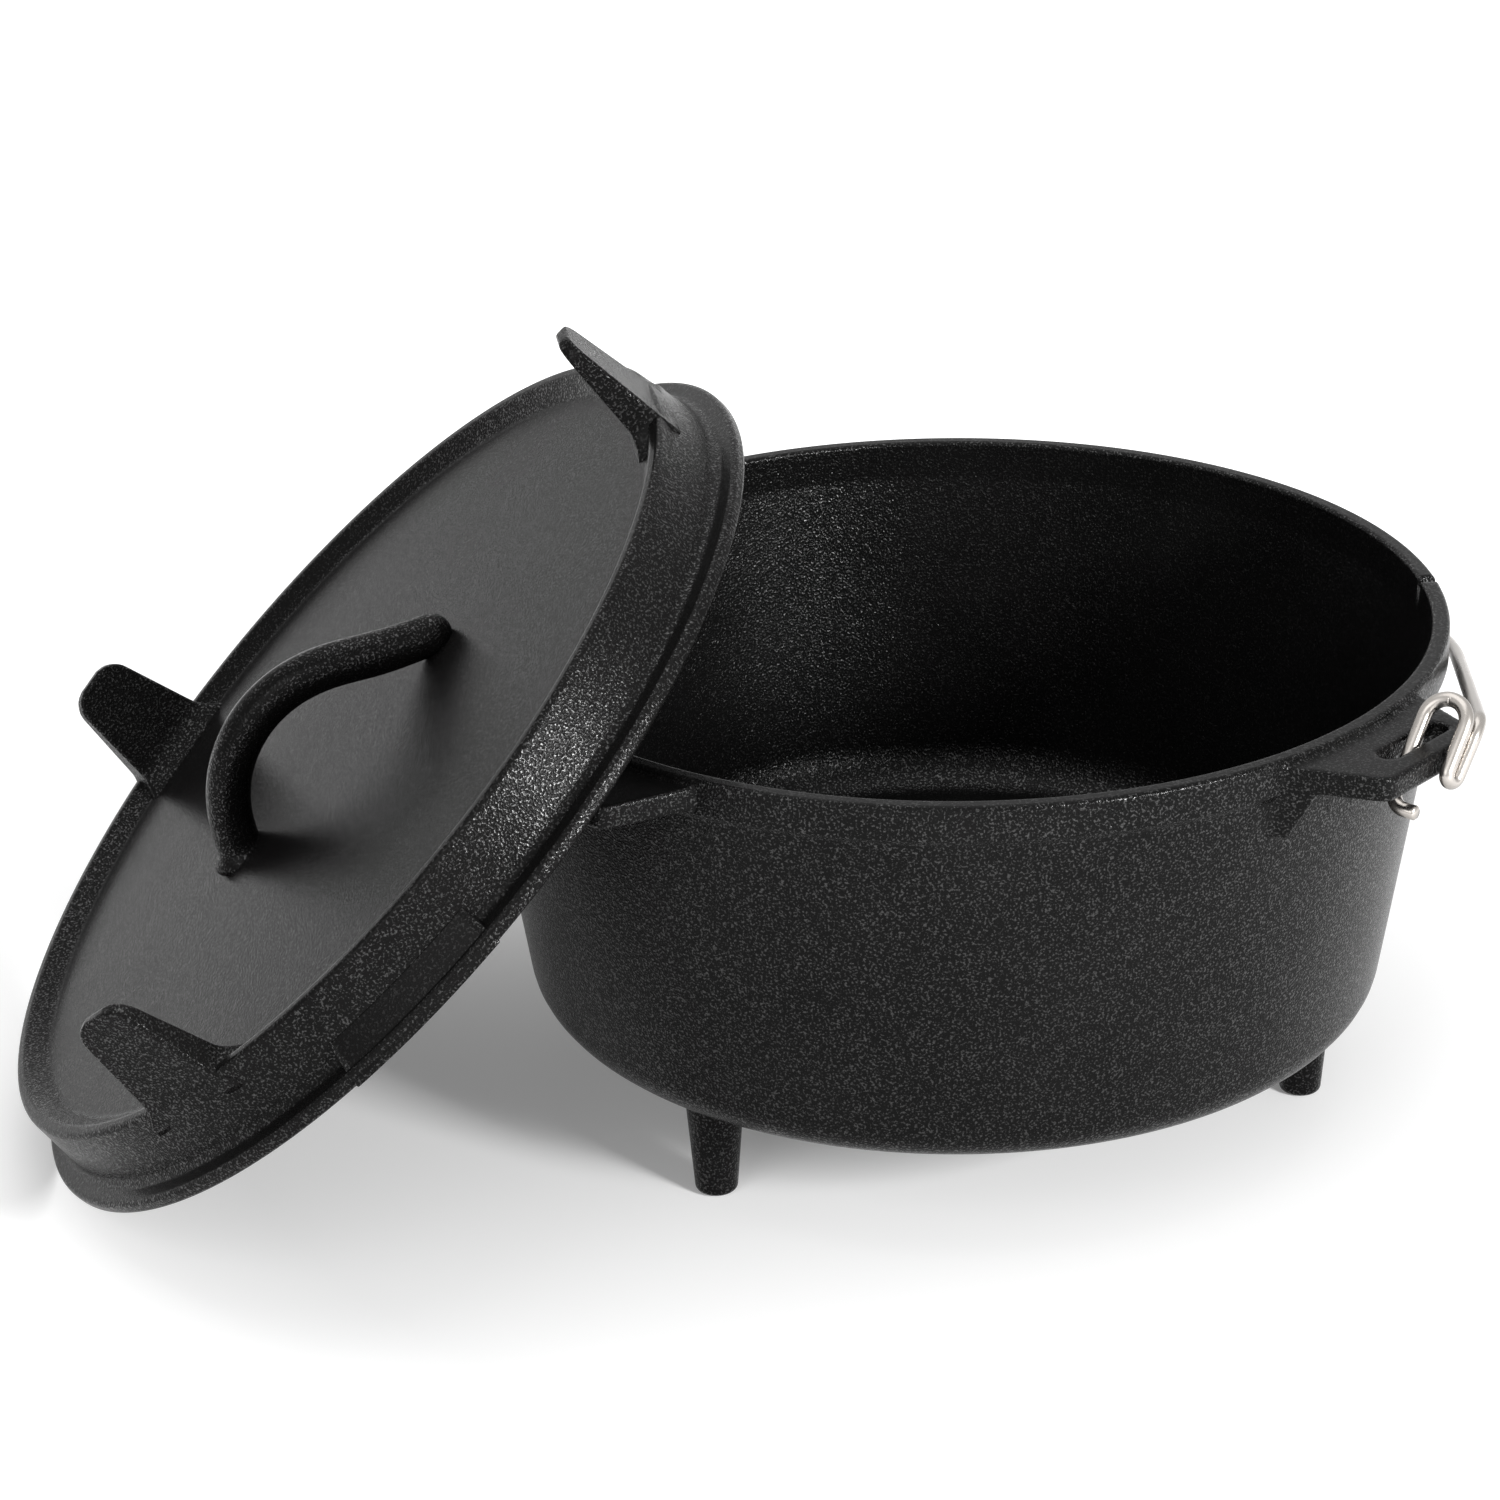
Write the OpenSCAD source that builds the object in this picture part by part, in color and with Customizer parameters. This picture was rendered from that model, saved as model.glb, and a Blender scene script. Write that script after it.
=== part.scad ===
// Camp dutch oven: three-legged pot, footed lid leaning on its rim, wire bail folded down
// Millimetres, +Z up, the pot's feet stand on z = 0, the bail ears lie on +X and -X

/* [Pot] */
// Outside radius of the rim collar
rim_r = 165; // [160:0.5:169]
// Height of the rim top over the ground
rim_top = 172; // [167:0.5:180]
// Width of the flat on top of the rim
rim_w = 6; // [4:0.1:9]
// Height of the thick collar under the rim
collar_h = 12.5; // [8:0.5:18]
// Step from the collar in to the wall
collar_step = 1.3; // [0.6:0.1:3]
// Taper of the wall from the collar to its lower end
wall_taper = 17.2; // [8:0.2:26]
// Height of the pot's underside over the ground
belly_z = 37; // [25:0.5:50]
// Radius of the outside rounding at the bottom
low_round = 14; // [8:0.5:24]
// Thickness of the wall
wall = 5.2; // [4:0.1:9]
// Thickness of the floor
floor_t = 6; // [4:0.1:10]
// Radius of the inside rounding at the floor
floor_round = 18; // [8:0.5:30]
// Angle of the cable notch in the rim
notch_turn = 46.5; // [20:0.5:70]
// Width of the cable notch
notch_w = 4.5; // [2:0.1:8]
// Depth of the cable notch
notch_d = 2.6; // [1:0.1:5]

/* [Pot feet] */
// Distance of the feet in from the wall's lower end
foot_in = 25; // [18:0.5:45]
// Foot diameter at the ground
foot_d1 = 14; // [9:0.5:20]
// Foot diameter under the belly
foot_d2 = 19.5; // [12:0.5:28]

/* [Ears and tab] */
// Reach of ears and tab out from the rim collar
ear_out = 26.6; // [22:0.1:32]
// Half width of an ear at the rim
ear_root = 37; // [32:0.5:40]
// Half width of the tab at the rim
tab_root = 30; // [24:0.5:40]
// Narrowing of each edge per millimetre of reach
ear_slope = 0.47; // [0.3:0.01:0.6]
// Thickness of ears and tab
ear_t = 8; // [6:0.1:8.5]
// Drop of their top under the rim top
ear_drop = 2.5; // [1:0.1:5]
// Corner rounding in plan
ear_round = 6; // [3:0.5:10]
// Width of the bar between the slot and the ear's outer edge
bar_w = 8.2; // [6:0.1:10]
// Width of the slot
slot_w = 7.6; // [6.4:0.1:9]
// Play of the wire at the slot's ends
slot_play = 1.2; // [1:0.1:2]
// Further run of the slot at its near end
slot_more = 6; // [0:0.1:7]
// Height of the ribs under the ear edges
rib_h = 17; // [8:0.5:24]
// Length of the ribs along the ear edge
rib_l = 12; // [8:0.5:20]
// Thickness of the ribs
rib_t = 6; // [4:0.5:10]

/* [Bail] */
// Diameter of the bail wire
wire_d = 4.8; // [3.5:0.1:5.6]
// Place of the folded bail's hook ahead of the ear's middle
hook_y = 4; // [3.6:0.1:6]
// Swing axis ahead of the ear's middle
swing_y = 8.5; // [7.5:0.1:9]
// Swing axis over the middle of the ear's thickness
swing_h = 2.5; // [2.3:0.1:3]
// Swing from folded to upright
swing_up = 98; // [80:1:99]
// Droop of the folded bail under level
droop = 14; // [13:0.1:16]
// Lean of the hook to the bail's plane
hook_lean = 22; // [21:0.5:24]
// Hook height over the ear's middle
hook_up = 20; // [19:0.1:22]
// Hook depth under the ear's middle
hook_down = 17.4; // [17:0.1:19]
// Run of the hook's tail under the bar
tail_run = 9.5; // [7:0.1:12]
// Gap between the wire and the ear's outer edge
hook_gap = 0.5; // [0.4:0.1:1.5]
// Depth of the hairpin under the ear's middle
pin_down = 4.5; // [3:0.1:6]
// Spacing of the two hairpin strands
pin_gap = 5.6; // [5:0.1:7]
// Height of the arch's plane over the ear's middle
arm_up = 13.5; // [12.5:0.1:15]
// Gap between the bail's arch and the rim collar
bail_gap = 0.6; // [0.4:0.1:3]

/* [Lid] */
// Overhang of the lid flange beyond the rim collar
lid_over = 5; // [4:0.1:5.5]
// Depth of the flange skirt under its widest line
skirt_h = 3.5; // [2.5:0.1:4]
// Running gap between the skirt and the pot's rim
skirt_gap = 1.5; // [0.8:0.1:2.5]
// Height of the seat under the widest line
seat_h = 1.5; // [0.5:0.1:2]
// Height of the raised rim over the widest line
lid_rim_h = 25.2; // [22:0.1:26]
// Distance of the raised rim's crest in from the rim collar
lid_rim_in = 7.8; // [5:0.1:14]
// Depth of the plate under the raised rim
plate_drop = 5.5; // [4:0.1:8]
// Thickness of the plate
plate_t = 4.8; // [4:0.1:8]
// Tilt of the leaning lid
lid_tilt = 45.1; // [44.5:0.1:46]
// Heading of the leaning lid round the pot
lid_heading = 229.5; // [229.2:0.1:231]
// Sideways shift of the leaning lid
lid_side = 0; // [-0.5:0.1:1]
// Gap kept where the lid leans on the rim
lean_gap = 0.4; // [0.3:0.05:1]

/* [Lid feet and handle] */
// Height of the foot tips over the plate
tip_h = 42; // [35:0.5:55]
// Foot width at the plate
leg_w1 = 36; // [30:0.5:48]
// Foot width at the tip
leg_w2 = 22; // [18:0.5:30]
// Rounding of the tip's corners
leg_round = 7; // [4:0.5:9]
// Flare of the foot's edges at the plate
leg_flare = 4; // [1:0.5:8]
// Foot thickness at the plate
leg_t1 = 12; // [8:0.1:14]
// Foot thickness at the tip
leg_t2 = 4.5; // [3.5:0.1:8]
// Radius of the loop handle's centre line
loop_r = 48.4; // [42:0.2:54]
// Drop of the loop's centre under the plate top
loop_drop = 18.5; // [14:0.1:22]
// Shift of the loop's centre along the handle
loop_x = 5; // [0:0.1:8]
// Thickness of the loop handle
loop_d = 15; // [11:0.1:18]
// Turn along the loop at which its toe branches off
toe_turn = 138; // [130:1:146]
// Reach of the toe's end from the lid's axis
toe_x = 50; // [44:0.5:58]
// Height of the toe's end over the plate
toe_h = 3.5; // [1:0.1:6]
// Thickness of the toe's end
toe_d = 13; // [9:0.1:16]
// Length of the flat lug on the flange
lug_l = 64; // [40:1:80]
// Reach of the flat lug beyond the flange
lug_out = 1.3; // [0.5:0.1:3]

/* [Hidden] */
$fn = 160;
iron = [0.20, 0.20, 0.21];
iron_lid = [0.27, 0.27, 0.28];
steel = [0.72, 0.70, 0.67];

// Pot heights and the straight wall
edge = 1;
collar_z = rim_top - collar_h;
wall_r = rim_r - collar_step;
low_r = wall_r - wall_taper;
low_z = belly_z + low_round - edge;
wall_tan = wall_taper / (collar_z - low_z);
wall_a = atan(wall_tan);
function wall_at(z) = low_r + (z - low_z) * wall_tan;
floor_z = belly_z + floor_t;
out_cx = wall_at(belly_z + low_round * (1 - sin(wall_a))) - low_round * cos(wall_a);
in_end = floor_z + floor_round * (1 - sin(wall_a));
in_cx = wall_at(in_end) - wall - floor_round * cos(wall_a);
foot_at = low_r - foot_in;
foot_turn = -1.3;
foot_lip = 2.5;
foot_sink = 3;
foot_lap = 0.5;
foot_edge = 3;

// Ears and their slots
ear_reach = rim_r + ear_out;
ear_top = rim_top - ear_drop;
ear_low = ear_top - ear_t;
ear_sink = 3.5;
ear_in = rim_r - 4;
ear_back = rim_r - 14;
ear_bend = 3;
rib_lap = 1;
rib_toe = 1.5;
rib_in = 8;
rib_sink = 5;
slot_x = ear_reach - bar_w - slot_w / 2;
ear_mid = ear_top - ear_t / 2;

// Bail hook across the ear, and the arm that leaves it for the arch
hook_in = slot_x;
hook_out = ear_reach + hook_gap + wire_d / 2;
hook_r = (hook_out - hook_in) / 2;
pin_slack = 0.15;
pin_r = pin_gap / 2 - pin_slack;
tail_r = 5.5;
arch_r = rim_r + bail_gap + wire_d / 2;
pin_lean = 0.6;
arm_x = hook_out + 2;
arm_y = 10;
arm_r = 8;
arm_turn = atan2(arm_y + hook_y, arm_x) + acos(arch_r / norm([arm_x, arm_y + hook_y]));
arm_top = arch_r / sin(arm_turn) - hook_y;
wire_sides = 12;

// The slot takes the hook's inner strand at its lean when folded and when upright
lean_down = droop + hook_lean;
lean_up = swing_up - lean_down;
swing_off = (hook_y - swing_y) * cos(lean_down) + swing_h * sin(lean_down);
strand_y = swing_y + swing_off / cos(lean_up) + swing_h * tan(lean_up);
strand_run = (ear_t / 2) * tan(lean_up) + (wire_d / 2) / cos(lean_up) + slot_play;
slot_y0 = strand_y - strand_run - slot_more;
slot_y1 = strand_y + strand_run;

// Lid heights and where the leaning lid comes to rest
lid_r = rim_r + lid_over;
lid_rim_r = rim_r - lid_rim_in;
plate_h = lid_rim_h - plate_drop;
under_h = plate_h - plate_t;
skirt_in = rim_r + skirt_gap;
lug_at = lid_r + lug_out;
band_r = lid_rim_r + 4.2;
pan_r = lid_rim_r - 8;
root_sink = 3;
boss_r = loop_d / 2 + 4.5;
boss_h = 5;
toe_swell = 0.8;
leg_sink = 3;
leg_lean = 2.4;
leg_edge = 2;
crest_w = 1.4;
bead = 0.6;
bead_up = 0.7;
lid_z = (skirt_h - bead_up) * cos(lid_tilt) + (lid_r - bead) * sin(lid_tilt);
lid_out = rim_r - 1 - (under_h - lean_gap - (rim_top - lid_z) * cos(lid_tilt)) / sin(lid_tilt);
lid_x = lid_out * cos(lid_heading) - lid_side * sin(lid_heading);
lid_y = lid_out * sin(lid_heading) + lid_side * cos(lid_heading);

// Points of an arc in the plane
function arc(cx, cy, r, a0, a1, n) =
    [for (i = [0:n]) [cx + r * cos(a0 + (a1 - a0) * i / n), cy + r * sin(a0 + (a1 - a0) * i / n)]];

// Line through points with rounded corners, in space, with finer steps on a large round
function unit(v) = v / norm(v);
function corner(p, a, b, r) =
    let (u = unit(a - p), v = unit(b - p), ang = acos(u * v),
         c = p + unit(u + v) * r / sin(ang / 2),
         s = (p + u * r / tan(ang / 2) - c) / r,
         e = (p + v * r / tan(ang / 2) - c) / r,
         w = unit(cross(cross(s, e), s)),
         n = max(4, ceil((180 - ang) / (r > 50 ? 4 : 13))))
    [for (i = [0:n]) c + r * (s * cos((180 - ang) * i / n) + w * sin((180 - ang) * i / n))];
function rounded(p, r) =
    [p[0], for (i = [1:len(p) - 2]) each corner(p[i], p[i - 1], p[i + 1], r[i]), p[len(p) - 1]];

// Tube of round section along a line, its rings carried without twist
function heading(p, i) = unit(p[min(i + 1, len(p) - 1)] - p[max(i - 1, 0)]);
function carried(u, t) = unit(u - t * (u * t));
function sides(p, i, u) =
    i == len(p) ? [] : let (v = carried(u, heading(p, i))) concat([v], sides(p, i + 1, v));
module tube(p, d, m) {
    us = sides(p, 0, unit(cross(heading(p, 0), [0.2, 0.6, 0.7])));
    n = len(p);
    ring = [for (i = [0:n - 1]) let (t = heading(p, i), w = cross(t, us[i]))
        for (k = [0:m - 1]) p[i] + d / 2 * (us[i] * cos(360 * k / m) + w * sin(360 * k / m))];
    caps = [[for (k = [0:m - 1]) k], [for (k = [m - 1:-1:0]) (n - 1) * m + k]];
    skin = [for (i = [0:n - 2]) for (k = [0:m - 1])
        [(i + 1) * m + k, (i + 1) * m + (k + 1) % m, i * m + (k + 1) % m, i * m + k]];
    polyhedron(points = ring, faces = concat(caps, skin), convexity = 10);
}

// Plan of an ear or tab, cut to the collar so that nothing shows inside the pot
module ear_plan(root) {
    tip = root - ear_slope * (ear_reach - rim_r);
    line = rounded([[ear_back, -root, 0], [ear_in, -root, 0], [ear_reach, -tip, 0],
        [ear_reach, tip, 0], [ear_in, root, 0], [ear_back, root, 0]],
        [0, ear_bend, ear_round, ear_round, ear_bend, 0]);
    difference() {
        polygon([for (q = line) [q[0], q[1]]]);
        circle(r = rim_r - ear_sink);
    }
}

module slot_plan() {
    y0 = slot_y0 + slot_w / 2;
    y1 = slot_y1 - slot_w / 2;
    translate([slot_x - slot_w / 2, y0]) square([slot_w, y1 - y0]);
    translate([slot_x, y0]) circle(d = slot_w, $fn = 48);
    translate([slot_x, y1]) circle(d = slot_w, $fn = 48);
}

module rib() {
    // Reaches into the wall behind it, and is cut off there so that nothing shows inside the pot
    turn = atan(ear_slope);
    difference() {
        translate([ear_in, -ear_root, ear_low + rib_lap]) rotate([0, 0, turn])
            translate([0, rib_t, 0]) rotate([90, 0, 0]) linear_extrude(height = rib_t)
                polygon([[-rib_in, 0], [rib_l, 0], [rib_l - 2 * rib_lap, -2 * rib_lap],
                    [rib_toe, -rib_h], [-rib_in, -rib_h]]);
        cylinder(r = rim_r - rib_sink, h = rim_top);
    }
}

module ear() {
    translate([0, 0, ear_low]) linear_extrude(height = ear_t) difference() {
        ear_plan(ear_root);
        slot_plan();
    }
    rib();
    mirror([0, 1, 0]) rib();
}

module pot_foot() {
    // The flare runs on past the belly, so that its edge lies inside the bowl
    flare = foot_d2 / 2 + foot_lip + foot_lap;
    rotate_extrude($fn = 48) polygon(concat([[0, 0]],
        arc(foot_d1 / 2 - foot_edge, foot_edge, foot_edge, -90, 0, 2),
        [[foot_d2 / 2, belly_z - foot_lip], [flare, belly_z + foot_lap],
         [flare, belly_z + foot_sink], [0, belly_z + foot_sink]]));
}

module pot() color(iron) {
    difference() {
        rotate_extrude() polygon(concat(
            [[0, belly_z]],
            arc(out_cx, belly_z + low_round, low_round, -90, -wall_a, 10),
            [[wall_r, collar_z - edge], [rim_r, collar_z + edge], [rim_r, rim_top - edge],
             [rim_r - edge, rim_top], [rim_r - rim_w + edge, rim_top], [rim_r - rim_w, rim_top - edge],
             [wall_r - wall, collar_z - edge]],
            arc(in_cx, floor_z + floor_round, floor_round, -wall_a, -90, 10),
            [[0, floor_z]]));
        rotate([0, 0, notch_turn]) translate([rim_r - rim_w - edge, -notch_w / 2, rim_top - notch_d])
            cube([rim_w + 2 * edge, notch_w, notch_d + edge]);
    }
    for (a = [-90, 30, 150]) rotate([0, 0, a + foot_turn]) translate([foot_at, 0, 0]) pot_foot();
    ear();
    mirror([1, 0, 0]) ear();
    rotate([0, 0, -90]) translate([0, 0, ear_low]) linear_extrude(height = ear_t) ear_plan(tab_root);
}

module lid_leg() {
    // The foot's outline seen from the lid's axis, crossed with its section along the radius
    tip = plate_h + tip_h;
    foot = plate_h - leg_sink;
    w1 = leg_w1 / 2;
    w2 = leg_w2 / 2;
    w_foot = w1 + leg_flare;
    r_out = lid_rim_r + crest_w;
    r_tip = r_out - leg_lean;
    r_in = r_out - leg_t1;
    cut = leg_edge / 2;
    intersection() {
        translate([r_out - 2 * leg_t1, 0, 0]) rotate([90, 0, 90]) linear_extrude(height = 3 * leg_t1)
            polygon(concat([[-w_foot, foot], [w_foot, foot], [w_foot, plate_h + cut],
                [w1 + leg_flare / 4, plate_h + leg_flare], [w1 - cut, plate_h + 2 * leg_flare]],
                arc(w2 - leg_round, tip - leg_round, leg_round, 10, 90, 6),
                arc(leg_round - w2, tip - leg_round, leg_round, 90, 170, 6),
                [[cut - w1, plate_h + 2 * leg_flare], [-w1 - leg_flare / 4, plate_h + leg_flare],
                [-w_foot, plate_h + cut]]));
        rotate([90, 0, 0]) translate([0, 0, -leg_w1]) linear_extrude(height = 2 * leg_w1)
            polygon([[r_in - leg_flare, foot], [r_out, foot], [r_out, plate_h + leg_flare],
                [r_tip, tip - leg_edge], [r_tip - cut, tip], [r_tip + cut - leg_t2, tip],
                [r_tip - leg_t2, tip - leg_edge], [r_in, plate_h + 2 * leg_flare],
                [r_in - leg_flare, plate_h + cut]]);
    }
}

// Loop handle, its low boss at one root and the toe that runs out along the plate at the other
module handle() {
    start = asin((loop_drop - root_sink) / loop_r);
    translate([loop_x, 0, plate_h - loop_drop]) rotate([90, 0, 0]) rotate([0, 0, start])
        rotate_extrude(angle = 180 - 2 * start) translate([loop_r, 0]) circle(d = loop_d, $fn = 48);
    root_x = loop_x + sqrt(loop_r * loop_r - loop_drop * loop_drop);
    translate([root_x, 0, plate_h - 1]) rotate_extrude($fn = 64)
        polygon([[0, 0], [boss_r, 0], [boss_r, 1], [boss_r - 2.1, 1.6],
            [boss_r - 3.3, 2.8], [loop_d / 2, boss_h], [0, boss_h]]);
    a = [loop_x + loop_r * cos(toe_turn), plate_h - loop_drop + loop_r * sin(toe_turn)];
    b = [-toe_x, plate_h + toe_h];
    translate([a[0], 0, a[1]]) rotate([0, atan2(b[0] - a[0], b[1] - a[1]), 0])
        cylinder(d1 = loop_d, d2 = toe_d, h = norm(b - a), $fn = 48);
    translate([b[0], 0, b[1]]) sphere(d = toe_d + toe_swell, $fn = 48);
}

module lid_body() {
    difference() {
        union() {
            rotate_extrude() polygon([[0, under_h], [pan_r, under_h], [lid_rim_r - 4.6, under_h - 2.4],
                [lid_rim_r - 0.8, -seat_h], [skirt_in, -seat_h], [skirt_in, -skirt_h],
                [lid_r - 1.8, -skirt_h], [lid_r - bead, bead_up - skirt_h],
                [lid_r, 2 - skirt_h], [lid_r, -0.4], [lid_r - 0.7, 0.9], [lid_r - 2.2, 1.7],
                [band_r + 2.4, 2.2], [band_r + 0.9, 3.1], [band_r, 4.9],
                [lid_rim_r + 2.2, lid_rim_h - 3], [lid_rim_r + crest_w, lid_rim_h - 1],
                [lid_rim_r, lid_rim_h], [lid_rim_r - 1.9, lid_rim_h - 0.4],
                [lid_rim_r - 3.6, lid_rim_h - 1.7], [pan_r, plate_h + 1.2],
                [pan_r - 1.4, plate_h + 0.3], [pan_r - 3, plate_h], [0, plate_h]]);
            for (a = [60, 180, 300]) rotate([0, 0, a]) lid_leg();
            handle();
            // Flat lug on the flange
            translate([-lug_l / 2, lid_rim_r, -skirt_h]) cube([lug_l, lug_at - lid_rim_r, skirt_h + 6]);
        }
        translate([0, 0, -skirt_h - 1]) cylinder(r = skirt_in, h = skirt_h + 1 - seat_h);
        translate([0, 0, -skirt_h - 1]) cylinder(r = pan_r, h = skirt_h + 1 + under_h);
    }
}

module lid() color(iron_lid)
    translate([lid_x, lid_y, lid_z]) rotate([0, lid_tilt, lid_heading]) lid_body();

// One bent wire: tail, hook over the ear, hairpin, arm, arch, and the same mirrored
function hook_pt(x, e, n) =
    [x, e * sin(hook_lean) + n * cos(hook_lean), e * cos(hook_lean) - n * sin(hook_lean)];
half = [hook_pt(hook_in + tail_run, -hook_down, 0), hook_pt(hook_in, -hook_down, 0),
    hook_pt(hook_in, hook_up, 0), hook_pt(hook_out, hook_up, 0), hook_pt(hook_out, -pin_down, 0),
    hook_pt(hook_out + pin_lean, -pin_down, pin_gap), [arm_x, arm_y, arm_up]];
bend = [0, tail_r, hook_r, hook_r, pin_r, pin_r, arm_r];
function flip(p) = [for (i = [len(p) - 1:-1:0]) [-p[i][0], p[i][1], p[i][2]]];
function back(p) = [for (i = [len(p) - 1:-1:0]) p[i]];
bail_line = rounded(concat(half, [[0, arm_top, arm_up]], flip(half)), concat(bend, [arch_r], back(bend)));

module bail() color(steel)
    translate([0, hook_y, ear_mid]) rotate([-droop, 0, 0]) tube(bail_line, wire_d, wire_sides);

pot();
lid();
bail();
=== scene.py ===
# Camp dutch oven: cast-iron pot, leaning footed lid and satin wire bail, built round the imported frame
import math

import bpy
from mathutils import Matrix, Vector


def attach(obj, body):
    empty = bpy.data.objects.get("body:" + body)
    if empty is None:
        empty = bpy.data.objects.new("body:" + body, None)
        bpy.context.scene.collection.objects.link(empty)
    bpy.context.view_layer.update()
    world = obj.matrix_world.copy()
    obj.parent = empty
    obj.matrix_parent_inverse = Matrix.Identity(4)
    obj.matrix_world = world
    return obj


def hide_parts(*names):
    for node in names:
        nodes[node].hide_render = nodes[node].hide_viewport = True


MM = 0.001

# Pot, as in the CAD, in millimetres
RIM_R = 165.0
RIM_TOP = 172.0
RIM_W = 6.0
RIM_ROUND = 1.5
COLLAR_Z = 159.5
STEP_H = 1.0
STEP_LOW_ROUND = 0.8
STEP_HIGH_ROUND = 0.7
STEP_IN_ROUND = 20.0
WALL_R = 163.7
LOW_R = 146.5
LOW_Z = 50.0
BELLY_Z = 37.0
LOW_ROUND = 14.0
WALL = 5.2
FLOOR_Z = 43.0
FLOOR_ROUND = 18.0
NOTCH_TURN = 46.5
NOTCH_W = 4.5
NOTCH_D = 2.6
NOTCH_SOFT = 0.5
NOTCH_CLEAR = 3.2
NOTCH_STEPS = (0.8, 1.6, 1.9, 2.1, 2.3, 2.5, 2.8)
FOOT_AT = 121.5
FOOT_D1 = 14.0
FOOT_D2 = 19.5
FOOT_LIP = 3.0
FOOT_EDGE = 2.2
FOOT_FILLET = 6.0
FOOT_SINK = 1.0
FOOT_TURNS = (-91.3, 28.7, 148.7)
FOOT_EVERY = 6

# Ears and tab, taken from the CAD with soft cast corners
VOXEL = 0.9
MELT_SHARE = 0.5
MELT_STEPS = 4
EAR_LOW = 138.0
EAR_HALF = 50.0
EAR_FROM = 140.0
EAR_LAP = 0.12
EAR_TUCK = 2 * EAR_LAP
STEP_LAP = 4 * EAR_LAP
STEP_NEAR = 3 * STEP_H
EAR_GROW = 2

# Lid, as in the CAD, in millimetres
LID_TILT = 45.1
LID_HEADING = 229.5
LID_AT = (-125.594, -147.052, 121.969)
LID_R = 170.0
SKIRT_IN = 166.5
SKIRT_H = 3.5
SKIRT_ROUND = 0.4
SEAT_H = 1.5
SEAT_IN = 1.0
SEAT_ROUND = 0.8
UNDER_H = 14.9
UNDER_IN = 6.3
UNDER_ROUND = 3.0
FLANGE_H = 1.7
FLANGE_LOW_ROUND = 1.7
FLANGE_TOP_ROUND = 1.9
GROOVE_H = 2.3
GROOVE_OUT = 0.4
GROOVE_ROUND = 3.2
PLATE_H = 19.7
PLATE_IN = 9.0
PLATE_ROUND = 4.0
CREST_H = 25.2
CREST_R = 157.2
CREST_OUT = 2.0
CREST_OUT_ROUND = 1.9
CREST_IN = 2.4
CREST_IN_ROUND = 2.6
BAND_R = 161.4

# Feet of the lid
LEG_TURNS = (60.0, 180.0, 300.0)
LEG_TIP = 42.0
LEG_OUT = 1.4
LEG_W1 = 18.0
LEG_W2 = 11.0
LEG_ROUND = 7.0
LEG_FLARE = 4.0
LEG_FLARE_H = 9
LEG_T1 = 12.0
LEG_T2 = 4.5
LEG_LEAN = 2.4
LEG_EDGE = 1.3
LEG_EDGE_LOSS = 0.7
LEG_SINK = 3.0
LEG_BLEND = 0.8
LEG_CAP = 0.25
LEG_LEVELS = [0, 0.8, 1.6, 2.5, 3.5, 5, 6.5, 8, 10, 16, 24, 30]
SHOULDER_TURNS = (10, 20, 30, 40, 50, 60, 68, 75)
EDGE_TURNS = (0, 25, 50, 72, 90)

# Loop handle of the lid, and the lug on its flange
LOOP_R = 48.4
LOOP_DROP = 18.5
LOOP_X = 5.0
LOOP_D = 15.0
LOOP_STEPS = 44
LOOP_MELT = 30
LOOP_SIDES = 40
ROOT_SINK = 3.0
ROOT_FLARE = 3.0
TOE_TURN = 138.0
TOE_X = 50.0
TOE_H = 4.2
TOE_D = 14.0
TOE_STEPS = 9
TOE_CAP_TURNS = (20, 40, 60, 75, 86)
LUG_HALF = 32.0
LUG_OUT = 170.8
LUG_IN = 161.2
LUG_TOP = 9.5
LUG_EDGE = -1.6
LUG_LAP = 0.5
LUG_SOFT = 0.4
LUG_ROUND = 0.5
LUG_HIDDEN_ROUND = 0.3
LUG_STEPS = 24

# Bail wire, as in the CAD, in millimetres
WIRE_D = 4.8
HOOK_Y = 4.0
EAR_MID = 165.5
DROOP = 14.0
HOOK_LEAN = 22.0
HOOK_UP = 20.0
HOOK_DOWN = 17.4
SLOT_X = 179.6
EAR_REACH = 191.6
HOOK_GAP = 0.5
PIN_DOWN = 4.5
PIN_GAP = 5.6
PIN_LEAN = 0.6
PIN_SLACK = 0.15
BAIL_GAP = 0.6
ARM_OUT = 2.0
ARM_Y = 10.0
ARM_UP = 13.5
ARM_R = 8.0
TAIL_RUN = 9.5
TAIL_R = 5.5
WIRE_SIDES = 28
WIRE_EDGE = 0.6

# Fineness of the meshes: steps round a lathe, degrees per step of a bend, holding edge beside a rounding
TURNS = 360
BEND_STEP = 12.0
WIRE_STEP = 5.0
ARCH_STEP = 2.0
HOLD = 0.4

# Camera fitted to the photo, in millimetres, turned with the part about Z
PART_TURN = 39.0
CAM_AT = (0.0, -1365.38, 721.07)
CAM_LOOK = (-0.04627, 0.91383, -0.40345)
CAM_ROLL = -1.218
FOCAL_PX = 4380.56
FRAME_PX = 1500.0
SENSOR = 36.0
CAM_FAR = 30.0

# Looks of the iron: linear colours, sheen, patches, grain and painted glints, specks of lighter colour
POT_DARK = (0.0028, 0.0028, 0.0028)
POT_PALE = (0.0050, 0.0049, 0.0049)
LID_DARK = (0.0034, 0.0033, 0.0033)
LID_PALE = (0.0060, 0.0058, 0.0057)
# Painted glint: colour of grain specks lighter than the iron, standing in for sparkle
PAINTED_GLINT = (0.009, 0.0088, 0.0087)
IRON_ROUGH = 0.25
ROUGH_SPREAD = 0.04
POT_SHEEN = 0.06
LID_SHEEN = 0.05
GLINT_SHEEN = 0.6
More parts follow.
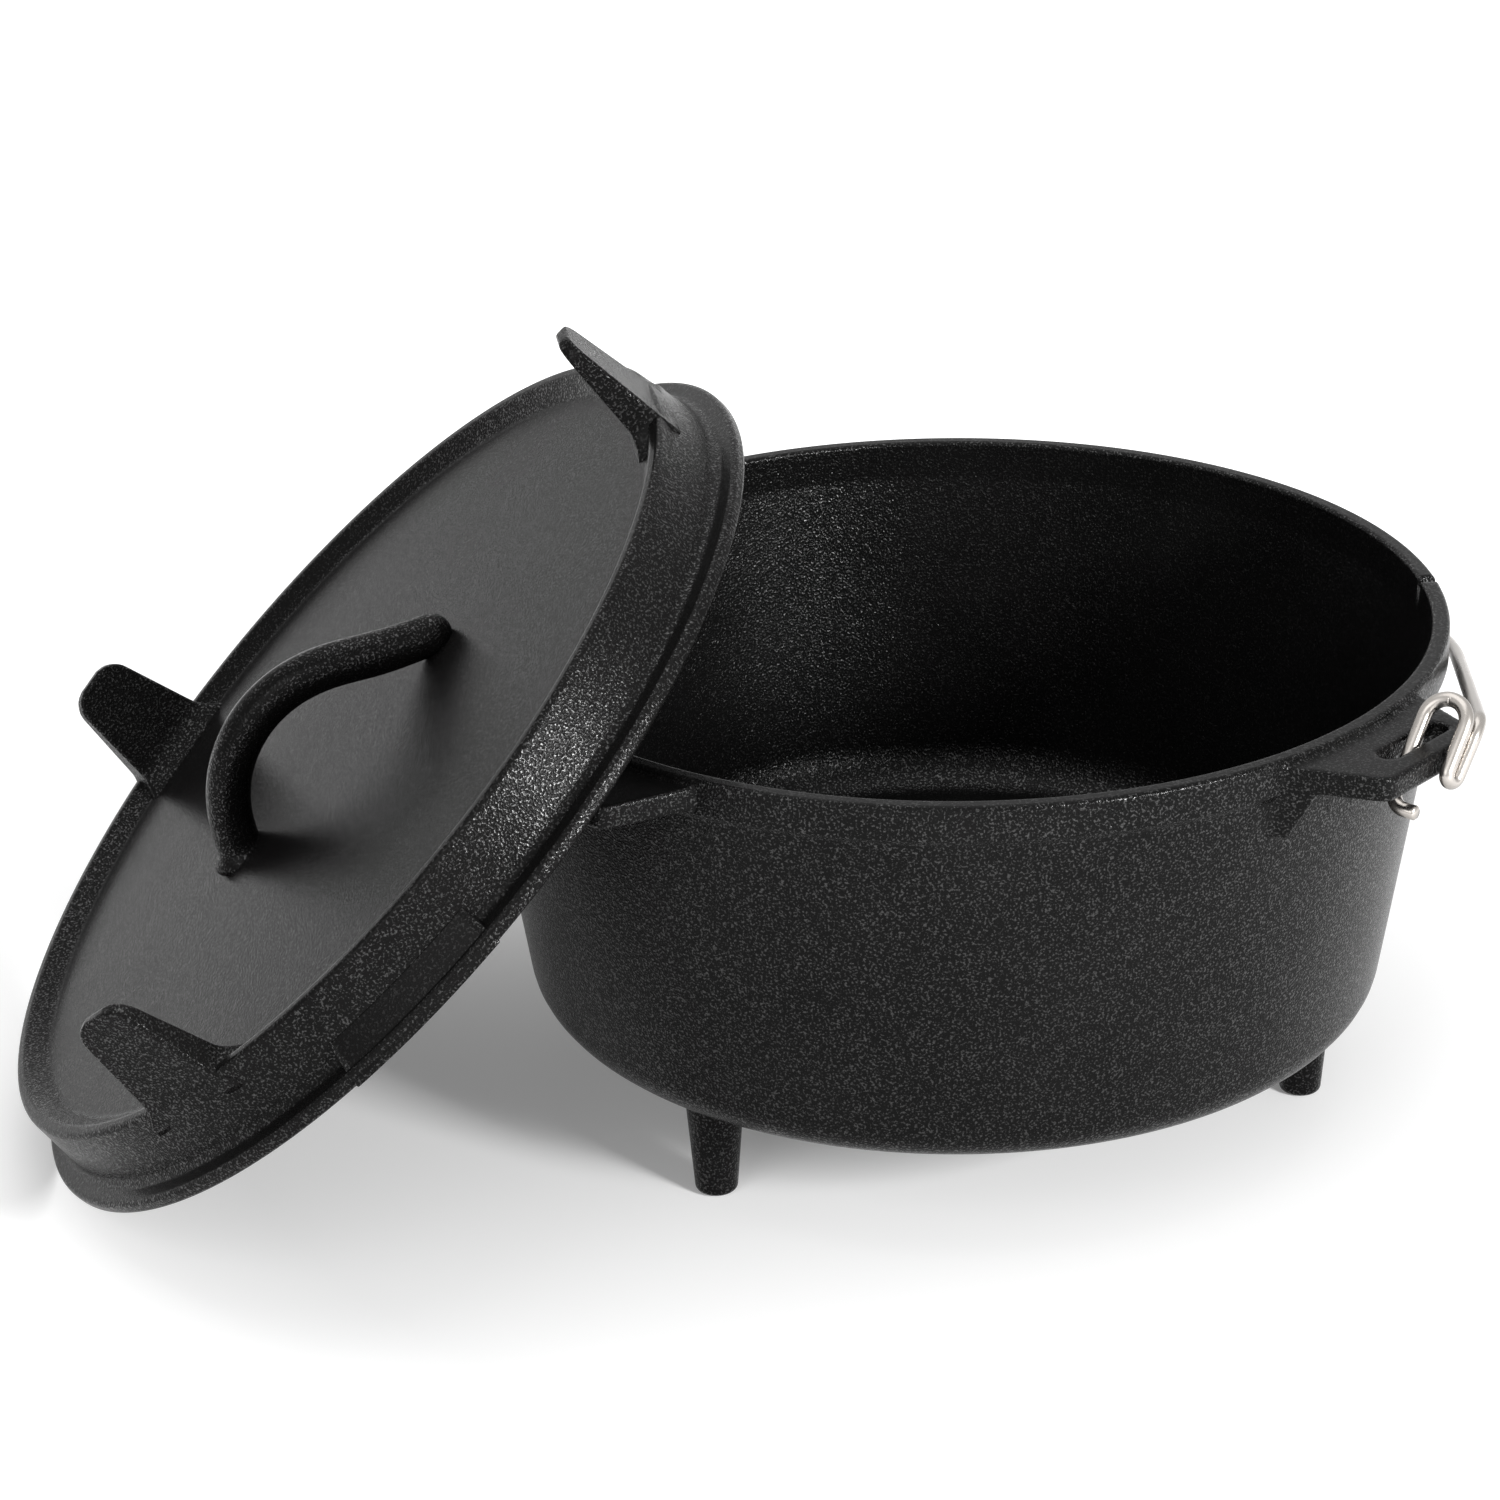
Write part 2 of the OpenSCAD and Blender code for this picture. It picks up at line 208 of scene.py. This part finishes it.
# Grain levels at which the painted glint specks begin and are full
PAINTED_GLINT_FROM = 0.54
PAINTED_GLINT_FULL = 0.72
PATCH_SCALE = 14.0
GRAIN_SCALE = 1300.0
GRAIN_HEIGHT = 0.25
PLAIN_GRAIN = 0.25
PLAIN_FROM = 0.9
PLAIN_FULL = 0.99

# Looks of the wire: linear colours, roughness and drawing lines
STEEL_DARK = (0.34, 0.315, 0.29)
STEEL_PALE = (0.46, 0.435, 0.41)
STEEL_SMOOTH = 0.24
STEEL_ROUGH = 0.34
CLOUD_SCALE = 60.0
LINES_SCALE = 900.0
LINES_STRENGTH = 0.2
LINES_HEIGHT = 0.05

# Surroundings: how white floor and world are, in metres where it is a length
WORLD_FILL = 0.35
FLOOR_HALF = 6.0
FLOOR_DROP = 0.2 * MM
FLOOR_WHITE = (0.86, 0.86, 0.86, 1.0)
FLOOR_ROUGH = 0.9
FLOOR_NEAR = 0.18
FLOOR_FAR = 0.9
FLOOR_NEAR_TO = 0.25
FLOOR_FAR_FROM = 0.7
WHITE = (1.0, 1.0, 1.0, 1.0)

# Square lamps: name, place in the photo's frame, aim, side in metres, power in watts
LAMPS = (
    ("overhead", (-0.2, 0.2, 1.9), (0, 0, 0.1), 1.8, 15),
    ("key", (1.15, -1.15, 0.7), (0, 0, 0.12), 0.35, 38),
    ("front", (-0.9, -1.5, 1.0), (0, 0, 0.05), 1.2, 9),
)


def new_object(name, data):
    obj = bpy.data.objects.new(name, data)
    bpy.context.scene.collection.objects.link(obj)
    return obj


def smooth_object(name, shells, place):
    """One smooth object from shells of points and faces in millimetres"""
    verts = []
    faces = []
    for points, quads in shells:
        start = len(verts)
        verts += [(place @ Vector(p)) * MM for p in points]
        faces += [tuple(start + i for i in face) for face in quads]
    mesh = bpy.data.meshes.new(name)
    mesh.from_pydata(verts, [], faces)
    mesh.polygons.foreach_set("use_smooth", [True] * len(mesh.polygons))
    return new_object(name, mesh)


def moved(shell, matrix):
    return [matrix @ Vector(p) for p in shell[0]], shell[1]


def spin(degrees, axis):
    return Matrix.Rotation(math.radians(degrees), 4, axis)


# Lines and shells

def corner(p, a, b, r, step):
    """Points of the arc that rounds the corner at p between a and b"""
    u = (a - p).normalized()
    v = (b - p).normalized()
    ang = u.angle(v)
    centre = p + (u + v).normalized() * (r / math.sin(ang / 2))
    start = (p + u * (r / math.tan(ang / 2)) - centre) / r
    end = (p + v * (r / math.tan(ang / 2)) - centre) / r
    side = start.cross(end).cross(start).normalized()
    sweep_ang = math.pi - ang
    count = max(4, math.ceil(math.degrees(sweep_ang) / step))
    steps = [sweep_ang * i / count for i in range(count + 1)]
    return [centre + r * (start * math.cos(s) + side * math.sin(s)) for s in steps]


def held(p, a, b, r):
    """A rounded corner with a holding point before and after it, so that the flats beside it stay flat"""
    arc = corner(p, a, b, r, BEND_STEP)
    first = arc[0] + (a - arc[0]).normalized() * HOLD
    last = arc[-1] + (b - arc[-1]).normalized() * HOLD
    return [first] + arc + [last]


def outline(points, closed):
    """A line in a plane through points (a, b, rounding)"""
    flat = [Vector((a, b, 0)) for a, b, _ in points]
    line = []
    for i, (_, _, r) in enumerate(points):
        if r == 0:
            line.append(flat[i])
        elif closed:
            line += held(flat[i], flat[i - 1], flat[(i + 1) % len(flat)], r)
        else:
            line += held(flat[i], flat[i - 1], flat[i + 1], r)
    return [(p.x, p.y) for p in line]


def lathe(profile, turns, sunk):
    """A profile of (radius, height) from axis to axis turned about Z; sunk gives the top at an angle"""
    inner = profile[1:-1]
    count = len(inner)
    points = [(0, 0, profile[0][1]), (0, 0, profile[-1][1])]
    for t in turns:
        top = sunk(t)
        points += [(r * math.cos(t), r * math.sin(t), min(z, top)) for r, z in inner]
    faces = []
    for i in range(len(turns)):
        a = 2 + i * count
        b = 2 + (i + 1) % len(turns) * count
        faces.append((0, b, a))
        faces += [(a + k, b + k, b + k + 1, a + k + 1) for k in range(count - 1)]
        faces.append((1, a + count - 1, b + count - 1))
    return points, faces


def skin(rings):
    """A closed shell over rings of equal count, each running counterclockwise seen from the last ring"""
    size = len(rings[0])
    points = [p for ring in rings for p in ring]
    faces = [tuple(reversed(range(size)))]
    for i in range(len(rings) - 1):
        a = i * size
        b = a + size
        faces += [(a + k, a + (k + 1) % size, b + (k + 1) % size, b + k) for k in range(size)]
    last = (len(rings) - 1) * size
    faces.append(tuple(range(last, last + size)))
    return points, faces


def sweep(line, radii, sides):
    """A round bar along a line with a radius at each point"""
    count = len(line)
    heads = [(line[min(i + 1, count - 1)] - line[max(i - 1, 0)]).normalized() for i in range(count)]
    angles = [2 * math.pi * k / sides for k in range(sides)]
    up = heads[0].orthogonal().normalized()
    rings = []
    for p, t, r in zip(line, heads, radii):
        up = (up - t * up.dot(t)).normalized()
        side = t.cross(up)
        rings.append([p + r * (up * math.cos(a) + side * math.sin(a)) for a in angles])
    return skin(rings)


def even_turns():
    return [2 * math.pi * i / TURNS for i in range(TURNS)]


def level(_):
    return math.inf


# Pot

def wall_at(z):
    return LOW_R + (z - LOW_Z) * (WALL_R - LOW_R) / (COLLAR_Z - LOW_Z)


def rim_height(turn):
    """Height of the rim top, sunk at the rim notch"""
    along = abs(turn - math.radians(NOTCH_TURN)) * (RIM_R - RIM_W / 2)
    share = min(1.0, max(0.0, (NOTCH_W / 2 + NOTCH_SOFT / 2 - along) / NOTCH_SOFT))
    return RIM_TOP - NOTCH_D * share if share else math.inf


def pot_bowl():
    low = COLLAR_Z - STEP_H
    high = COLLAR_Z + STEP_H
    profile = outline([
        (0, BELLY_Z, 0), (wall_at(BELLY_Z), BELLY_Z, LOW_ROUND),
        (wall_at(low), low, STEP_LOW_ROUND), (RIM_R, high, STEP_HIGH_ROUND),
        (RIM_R, RIM_TOP, RIM_ROUND), (RIM_R - RIM_W, RIM_TOP, RIM_ROUND),
        (wall_at(low) - WALL, low, STEP_IN_ROUND),
        (wall_at(FLOOR_Z) - WALL, FLOOR_Z, FLOOR_ROUND), (0, FLOOR_Z, 0)], False)
    middle = math.radians(NOTCH_TURN)
    turns = [t for t in even_turns() if abs(t - middle) * RIM_R > NOTCH_CLEAR]
    turns += [middle + s * d / RIM_R for d in NOTCH_STEPS for s in (-1, 1)]
    return lathe(profile, sorted(turns), rim_height)


def pot_foot():
    top = BELLY_Z + FOOT_SINK
    profile = outline([
        (0, 0, 0), (FOOT_D1 / 2, 0, FOOT_EDGE), (FOOT_D2 / 2, BELLY_Z - FOOT_LIP, FOOT_FILLET),
        (FOOT_D2 / 2 + FOOT_LIP, top, 0), (0, top, 0)], False)
    return lathe(profile, even_turns()[::FOOT_EVERY], level)


def cast_ears(node):
    """Ears, tab and ribs of the CAD pot with soft corners, cut off just under the bowl's skin"""
    mesh = node.data.copy()
    obj = new_object("ears_cast", mesh)
    remesh = obj.modifiers.new("skin", "REMESH")
    remesh.mode = "VOXEL"
    remesh.voxel_size = VOXEL * MM
    melt = obj.modifiers.new("melt", "SMOOTH")
    melt.factor = MELT_SHARE
    melt.iterations = MELT_STEPS
    graph = bpy.context.evaluated_depsgraph_get()
    done = bpy.data.meshes.new_from_object(obj.evaluated_get(graph))
    points = [v.co / MM for v in done.vertices]
    quads = [tuple(p.vertices) for p in done.polygons]
    for data in (done, mesh):
        bpy.data.meshes.remove(data)

    def proud(p):
        ear = abs(p.x) > EAR_FROM and abs(p.y) < EAR_HALF
        tab = p.y < -EAR_FROM and abs(p.x) < EAR_HALF
        step = min(1.0, max(0.0, (p.z - COLLAR_Z + STEP_H) / (2 * STEP_H)))
        skin_r = wall_at(min(p.z, COLLAR_Z)) * (1 - step) + RIM_R * step
        lap = STEP_LAP if abs(p.z - COLLAR_Z) < STEP_NEAR else EAR_LAP
        return (ear or tab) and p.z > EAR_LOW and math.hypot(p.x, p.y) > skin_r + lap

    core = {i for i, p in enumerate(points) if proud(p)}
    kept = set(core)
    for _ in range(EAR_GROW):
        kept = {i for q in quads if kept.intersection(q) for i in q}
    faces = [q for q in quads if kept.issuperset(q)]
    place = {}
    shell = []
    for i in sorted(kept):
        place[i] = len(shell)
        p = points[i]
        inward = 0 if i in core else EAR_TUCK / math.hypot(p.x, p.y)
        shell.append((p.x * (1 - inward), p.y * (1 - inward), p.z))
    return shell, [tuple(place[i] for i in q) for q in faces]


# Lid

def lid_body():
    profile = outline([
        (0, UNDER_H, 0), (CREST_R - UNDER_IN, UNDER_H, UNDER_ROUND),
        (CREST_R - SEAT_IN, -SEAT_H, SEAT_ROUND), (SKIRT_IN, -SEAT_H, SKIRT_ROUND),
        (SKIRT_IN, -SKIRT_H, SKIRT_ROUND), (LID_R, -SKIRT_H, FLANGE_LOW_ROUND),
        (LID_R, FLANGE_H, FLANGE_TOP_ROUND), (BAND_R + GROOVE_OUT, GROOVE_H, GROOVE_ROUND),
        (CREST_R + CREST_OUT, CREST_H, CREST_OUT_ROUND), (CREST_R - CREST_IN, CREST_H, CREST_IN_ROUND),
        (CREST_R - PLATE_IN, PLATE_H, PLATE_ROUND), (0, PLATE_H, 0)], False)
    return lathe(profile, even_turns(), level)


def lid_leg():
    """A flat tapering foot that flares into the raised rim, in rings from the plate up"""
    outer = CREST_R + LEG_OUT
    shoulder = LEG_TIP - LEG_ROUND
    heights = [-LEG_SINK] + LEG_LEVELS + [shoulder]
    heights += [shoulder + LEG_ROUND * math.sin(math.radians(a)) for a in SHOULDER_TURNS]
    rounds = []
    for a in EDGE_TURNS:
        turn = math.radians(a)
        rounds.append((LEG_TIP - LEG_EDGE * (1 - math.sin(turn)), LEG_EDGE * (1 - math.cos(turn))))
    levels = [(h, 0.0) for h in heights if h < rounds[0][0]] + rounds
    rings = []
    for h, inset in levels:
        share = max(h, 0.0) / LEG_TIP
        flare = LEG_FLARE * max(0.0, 1 - max(h, 0.0) / LEG_FLARE_H) ** 2
        over = max(0.0, min(h, LEG_TIP - LEG_CAP) - shoulder)
        bite = LEG_ROUND - math.sqrt(LEG_ROUND ** 2 - over ** 2)
        half = LEG_W1 + (LEG_W2 - LEG_W1) * share + flare - bite - inset
        high = outer - LEG_LEAN * share + LEG_BLEND * flare / LEG_FLARE - inset
        low = outer - LEG_LEAN * share - (LEG_T1 + (LEG_T2 - LEG_T1) * share) - flare + inset
        edge = LEG_EDGE - LEG_EDGE_LOSS * inset
        corners = [(low, -half, edge), (high, -half, edge), (high, half, edge), (low, half, edge)]
        rings.append([(x, y, PLATE_H + h) for x, y in outline(corners, True)])
    return skin(rings)


def lid_handle():
    """The loop, flared at its low root, and the toe that runs out along the plate at the other end"""
    start = math.degrees(math.asin((LOOP_DROP - ROOT_SINK) / LOOP_R))
    turns = [math.radians(start + (TOE_TURN - start) * i / LOOP_STEPS) for i in range(LOOP_STEPS + 1)]
    base = PLATE_H - LOOP_DROP
    line = [Vector((LOOP_X + LOOP_R * math.cos(t), 0, base + LOOP_R * math.sin(t))) for t in turns]
    toe = Vector((-TOE_X, 0, PLATE_H + TOE_H))
    run = toe - line[-1]
    line += [line[-1] + run * i / TOE_STEPS for i in range(1, TOE_STEPS + 1)]
    for _ in range(LOOP_MELT):
        inner = [(line[i - 1] + 2 * line[i] + line[i + 1]) / 4 for i in range(1, len(line) - 1)]
        line = [line[0]] + inner + [line[-1]]
    radii = []
    for i, p in enumerate(line):
        height = p.z - PLATE_H
        near = max(0.0, ROOT_FLARE - height) if p.x > 0 else 0.0
        near = min(near, ROOT_FLARE)
        flare = ROOT_FLARE - math.sqrt(ROOT_FLARE ** 2 - near ** 2)
        slim = max(0.0, i - LOOP_STEPS) / TOE_STEPS
        radii.append(LOOP_D / 2 + flare + (TOE_D - LOOP_D) / 2 * slim)
    ahead = (line[-1] - line[-2]).normalized()
    for a in TOE_CAP_TURNS:
        line.append(toe + ahead * (TOE_D / 2 * math.sin(math.radians(a))))
        radii.append(TOE_D / 2 * math.cos(math.radians(a)))
    return sweep(line, radii, LOOP_SIDES)


def lid_lug():
    """The flat lug that fills the groove between the band and the flange's edge"""
    inner = CREST_R - SEAT_IN
    inside = SKIRT_IN + LUG_LAP
    seat = LUG_LAP - SEAT_H
    spans = [(-LUG_HALF, LUG_SOFT)]
    spans += [((LUG_HALF - LUG_SOFT) * (2 * i / LUG_STEPS - 1), 0.0) for i in range(LUG_STEPS + 1)]
    spans.append((LUG_HALF, LUG_SOFT))
    rings = []
    for along, inset in spans:
        section = outline([
            (inner, seat, LUG_HIDDEN_ROUND), (inner, LUG_TOP - inset, LUG_HIDDEN_ROUND),
            (LUG_IN - inset, LUG_TOP - inset, LUG_ROUND),
            (LUG_OUT - inset, LUG_EDGE - inset, LUG_ROUND),
            (LUG_OUT - inset, inset - SKIRT_H, SKIRT_ROUND),
            (inside, inset - SKIRT_H, LUG_HIDDEN_ROUND), (inside, seat, LUG_HIDDEN_ROUND)], True)
        turn = math.pi / 2 + along / LID_R
        rings.append([(r * math.cos(turn), r * math.sin(turn), z) for r, z in section])
    return skin(rings)


# Bail

def hook_point(x, e, n):
    lean = math.radians(HOOK_LEAN)
    return Vector((x, e * math.sin(lean) + n * math.cos(lean), e * math.cos(lean) - n * math.sin(lean)))


def bail_wire():
    """One bent wire: tail, hook, hairpin, arm, arch and the same mirrored"""
    out = EAR_REACH + HOOK_GAP + WIRE_D / 2
    arch_r = RIM_R + BAIL_GAP + WIRE_D / 2
    arm_x = out + ARM_OUT
    reach = math.hypot(arm_x, ARM_Y + HOOK_Y)
    turn = math.atan2(ARM_Y + HOOK_Y, arm_x) + math.acos(arch_r / reach)
    top = arch_r / math.sin(turn) - HOOK_Y
    half = [
        hook_point(SLOT_X + TAIL_RUN, -HOOK_DOWN, 0),
        hook_point(SLOT_X, -HOOK_DOWN, 0),
        hook_point(SLOT_X, HOOK_UP, 0),
        hook_point(out, HOOK_UP, 0),
        hook_point(out, -PIN_DOWN, 0),
        hook_point(out + PIN_LEAN, -PIN_DOWN, PIN_GAP),
        Vector((arm_x, ARM_Y, ARM_UP)),
    ]
    hook_r = (out - SLOT_X) / 2
    pin_r = PIN_GAP / 2 - PIN_SLACK
    bend = [0, TAIL_R, hook_r, hook_r, pin_r, pin_r, ARM_R]
    points = half + [Vector((0, top, ARM_UP))] + [Vector((-p.x, p.y, p.z)) for p in reversed(half)]
    radii = bend + [arch_r] + bend[::-1]
    line = [points[0]]
    for i in range(1, len(points) - 1):
        step = WIRE_STEP if radii[i] < arch_r else ARCH_STEP
        line += corner(points[i], points[i - 1], points[i + 1], radii[i], step)
    line.append(points[-1])
    first = (line[1] - line[0]).normalized() * WIRE_EDGE
    last = (line[-1] - line[-2]).normalized() * WIRE_EDGE
    thick = [WIRE_D / 2] * len(line)
    blunt = WIRE_D / 2 - WIRE_EDGE
    line = [line[0] - first] + line + [line[-1] + last]
    return sweep(line, [blunt] + thick + [blunt], WIRE_SIDES)


# Materials

def node_material(name):
    mat = bpy.data.materials.new(name)
    mat.use_nodes = True
    tree = mat.node_tree
    return mat, tree, tree.nodes["Principled BSDF"]


def add(tree, kind, **values):
    node = tree.nodes.new(kind)
    for key, value in values.items():
        if key in node.inputs:
            node.inputs[key].default_value = value
        else:
            setattr(node, key, value)
    return node


def noise(tree, coord, scale, detail, roughness):
    node = add(tree, "ShaderNodeTexNoise", Scale=scale, Detail=detail, Roughness=roughness)
    tree.links.new(coord, node.inputs["Vector"])
    return node.outputs["Fac"]


def ramp(tree, value, low, high, a, b):
    node = add(tree, "ShaderNodeMapRange")
    node.inputs["From Min"].default_value = low
    node.inputs["From Max"].default_value = high
    node.inputs["To Min"].default_value = a
    node.inputs["To Max"].default_value = b
    tree.links.new(value, node.inputs["Value"])
    return node.outputs["Result"]


def math_node(tree, operation, a, b, **values):
    node = add(tree, "ShaderNodeMath", operation=operation, **values)
    tree.links.new(a, node.inputs[0])
    tree.links.new(b, node.inputs[1])
    return node.outputs[0]


def plain_share(tree, normal, way):
    """Share of the grain and of the painted glints that stays on a face: little where it looks along the
    way
    """
    facing = add(tree, "ShaderNodeVectorMath", operation="DOT_PRODUCT")
    tree.links.new(normal, facing.inputs[0])
    facing.inputs[1].default_value = way
    return ramp(tree, facing.outputs["Value"], PLAIN_FROM, PLAIN_FULL, 1.0, PLAIN_GRAIN)


def cast_iron(name, dark, pale, dull, plain_ways):
    """Seasoned iron: sand-cast grain with painted glints, specks of lighter colour and more sheen, calmer
    on faces that look along plain_ways
    """
    mat, tree, shader = node_material(name)
    place = add(tree, "ShaderNodeTexCoord")
    coord = place.outputs["Object"]
    patches = noise(tree, coord, PATCH_SCALE, detail=4.0, roughness=0.6)
    grain = noise(tree, coord, GRAIN_SCALE, detail=1.0, roughness=0.5)
    shares = [plain_share(tree, place.outputs["Normal"], way) for way in plain_ways]
    calm = shares[0]
    for share in shares[1:]:
        calm = math_node(tree, "MINIMUM", calm, share)
    # Painted glints: grain specks that get a lighter base colour and more sheen
    painted_glint_and_shine = math_node(tree, "MULTIPLY", ramp(tree, grain, PAINTED_GLINT_FROM, PAINTED_GLINT_FULL, 0.0, 1.0), calm)

    skin_tone = add(tree, "ShaderNodeMix", data_type="RGBA")
    skin_tone.inputs["A"].default_value = dark + (1.0,)
    skin_tone.inputs["B"].default_value = pale + (1.0,)
    tree.links.new(ramp(tree, patches, 0.3, 0.7, 0.0, 1.0), skin_tone.inputs["Factor"])
    # Painted glints mixed into the base colour over the patchy tone
    tone = add(tree, "ShaderNodeMix", data_type="RGBA")
    tree.links.new(skin_tone.outputs["Result"], tone.inputs["A"])
    tone.inputs["B"].default_value = PAINTED_GLINT + (1.0,)
    tree.links.new(painted_glint_and_shine, tone.inputs["Factor"])
    tree.links.new(tone.outputs["Result"], shader.inputs["Base Color"])
    rough = ramp(tree, patches, 0.25, 0.75, IRON_ROUGH - ROUGH_SPREAD, IRON_ROUGH + ROUGH_SPREAD)
    tree.links.new(rough, shader.inputs["Roughness"])
    sheen = ramp(tree, painted_glint_and_shine, 0.0, 1.0, dull, GLINT_SHEEN)
    tree.links.new(sheen, shader.inputs["Specular IOR Level"])

    bump = add(tree, "ShaderNodeBump", Distance=GRAIN_HEIGHT * MM)
    tree.links.new(calm, bump.inputs["Strength"])
    tree.links.new(grain, bump.inputs["Height"])
    tree.links.new(bump.outputs["Normal"], shader.inputs["Normal"])
    return mat


def satin_steel(name):
    """Bent stainless wire with drawing lines and a faint warm cast"""
    mat, tree, shader = node_material(name)
    coord = add(tree, "ShaderNodeTexCoord").outputs["Object"]
    cloud = noise(tree, coord, CLOUD_SCALE, detail=3.0, roughness=0.6)
    fine = noise(tree, coord, LINES_SCALE, detail=2.0, roughness=0.6)
    mix = add(tree, "ShaderNodeMix", data_type="RGBA")
    mix.inputs["A"].default_value = STEEL_DARK + (1.0,)
    mix.inputs["B"].default_value = STEEL_PALE + (1.0,)
    tree.links.new(cloud, mix.inputs["Factor"])
    tree.links.new(mix.outputs["Result"], shader.inputs["Base Color"])
    shader.inputs["Metallic"].default_value = 1.0
    tree.links.new(ramp(tree, cloud, 0.3, 0.7, STEEL_SMOOTH, STEEL_ROUGH), shader.inputs["Roughness"])
    bump = add(tree, "ShaderNodeBump", Strength=LINES_STRENGTH, Distance=LINES_HEIGHT * MM)
    tree.links.new(fine, bump.inputs["Height"])
    tree.links.new(bump.outputs["Normal"], shader.inputs["Normal"])
    return mat


# Stage

def seen_ray(tree):
    """1 for rays that look at a surface directly, in a reflection or through glass"""
    path = add(tree, "ShaderNodeLightPath")
    total = path.outputs["Is Camera Ray"]
    for other in ("Is Glossy Ray", "Is Transmission Ray"):
        total = math_node(tree, "ADD", total, path.outputs[other], use_clamp=True)
    return total


def white_floor():
    mesh = bpy.data.meshes.new("floor")
    signs = ((-1, -1), (1, -1), (1, 1), (-1, 1))
    corners = [(x * FLOOR_HALF, y * FLOOR_HALF, -FLOOR_DROP) for x, y in signs]
    mesh.from_pydata(corners, [], [(0, 1, 2, 3)])
    floor = new_object("floor", mesh)
    mat, tree, shader = node_material("floor_white")
    shader.inputs["Base Color"].default_value = FLOOR_WHITE
    shader.inputs["Roughness"].default_value = FLOOR_ROUGH
    shader.inputs["Specular IOR Level"].default_value = 0.0
    shader.inputs["Emission Color"].default_value = WHITE
    away = add(tree, "ShaderNodeVectorMath", operation="LENGTH")
    tree.links.new(add(tree, "ShaderNodeTexCoord").outputs["Object"], away.inputs[0])
    lift = ramp(tree, away.outputs["Value"], FLOOR_NEAR_TO, FLOOR_FAR_FROM, FLOOR_NEAR, FLOOR_FAR)
    glow = math_node(tree, "MULTIPLY", lift, seen_ray(tree))
    tree.links.new(glow, shader.inputs["Emission Strength"])
    mesh.materials.append(mat)


def white_world():
    world = bpy.data.worlds.new("studio")
    bpy.context.scene.world = world
    world.use_nodes = True
    tree = world.node_tree
    back = tree.nodes["Background"]
    back.inputs["Color"].default_value = WHITE
    tree.links.new(ramp(tree, seen_ray(tree), 0.0, 1.0, WORLD_FILL, 1.0), back.inputs["Strength"])


def area_light(name, at, target, side, power):
    lamp = bpy.data.lights.new(name, "AREA")
    lamp.shape = "RECTANGLE"
    lamp.size = side
    lamp.size_y = side
    lamp.energy = power
    obj = new_object(name, lamp)
    obj.location = at
    aim = Vector(target) - Vector(at)
    obj.rotation_euler = aim.to_track_quat("-Z", "Y").to_euler()


def from_photo(v):
    """A direction or place given in the photo's frame, turned into the part's frame"""
    return Matrix.Rotation(math.radians(PART_TURN), 3, "Z") @ Vector(v)


def photo_camera():
    data = bpy.data.cameras.new("photo")
    data.sensor_fit = "HORIZONTAL"
    data.sensor_width = SENSOR
    data.lens = FOCAL_PX / FRAME_PX * SENSOR
    data.clip_end = CAM_FAR
    cam = new_object("photo", data)
    look = from_photo(CAM_LOOK).normalized()
    right = look.cross(Vector((0, 0, 1))).normalized()
    up = right.cross(look)
    roll = math.radians(CAM_ROLL)
    side = right * math.cos(roll) + up * math.sin(roll)
    top = side.cross(look)
    turn = Matrix((side, top, -look)).transposed()
    cam.matrix_world = Matrix.Translation(from_photo(CAM_AT) * MM) @ turn.to_4x4()
    bpy.context.scene.camera = cam


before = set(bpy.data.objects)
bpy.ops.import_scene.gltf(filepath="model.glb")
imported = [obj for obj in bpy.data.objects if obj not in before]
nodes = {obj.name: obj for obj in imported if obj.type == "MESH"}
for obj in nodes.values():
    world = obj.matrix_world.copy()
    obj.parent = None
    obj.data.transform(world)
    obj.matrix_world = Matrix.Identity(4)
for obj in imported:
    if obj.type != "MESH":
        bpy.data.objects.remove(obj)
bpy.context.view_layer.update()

lid_turn = spin(LID_HEADING, "Z") @ spin(LID_TILT, "Y")
lid_place = Matrix.Translation(LID_AT) @ lid_turn
bail_place = Matrix.Translation((0, HOOK_Y, EAR_MID)) @ spin(-DROOP, "X")

foot = moved(pot_foot(), Matrix.Translation((FOOT_AT, 0, 0)))
pot_shells = [pot_bowl(), cast_ears(nodes["pot"])] + [moved(foot, spin(a, "Z")) for a in FOOT_TURNS]
leg = lid_leg()
lid_shells = [lid_body(), lid_handle(), lid_lug()] + [moved(leg, spin(a, "Z")) for a in LEG_TURNS]
pot = smooth_object("pot_casting", pot_shells, Matrix.Identity(4))
lid = smooth_object("lid_casting", lid_shells, lid_place)
bail = smooth_object("bail_wire", [bail_wire()], bail_place)

lid_up = lid_turn @ Vector((0, 0, 1))
lug_way = (lid_turn @ Vector((0, LUG_TOP - LUG_EDGE, LUG_OUT - LUG_IN))).normalized()
pot.data.materials.append(cast_iron("pot_iron", POT_DARK, POT_PALE, POT_SHEEN, [(0, 0, 1)]))
lid.data.materials.append(cast_iron("lid_iron", LID_DARK, LID_PALE, LID_SHEEN, [lid_up, lug_way]))
bail.data.materials.append(satin_steel("bail_steel"))

for obj, body, slot in ((pot, "pot", "pot_iron"), (lid, "lid", "lid_iron"), (bail, "bail", "bail_steel")):
    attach(obj, body)
    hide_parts(body)

bpy.context.scene.view_settings.view_transform = "Standard"
white_floor()
white_world()
for name, at, target, side, power in LAMPS:
    area_light(name, from_photo(at), target, side, power)
photo_camera()
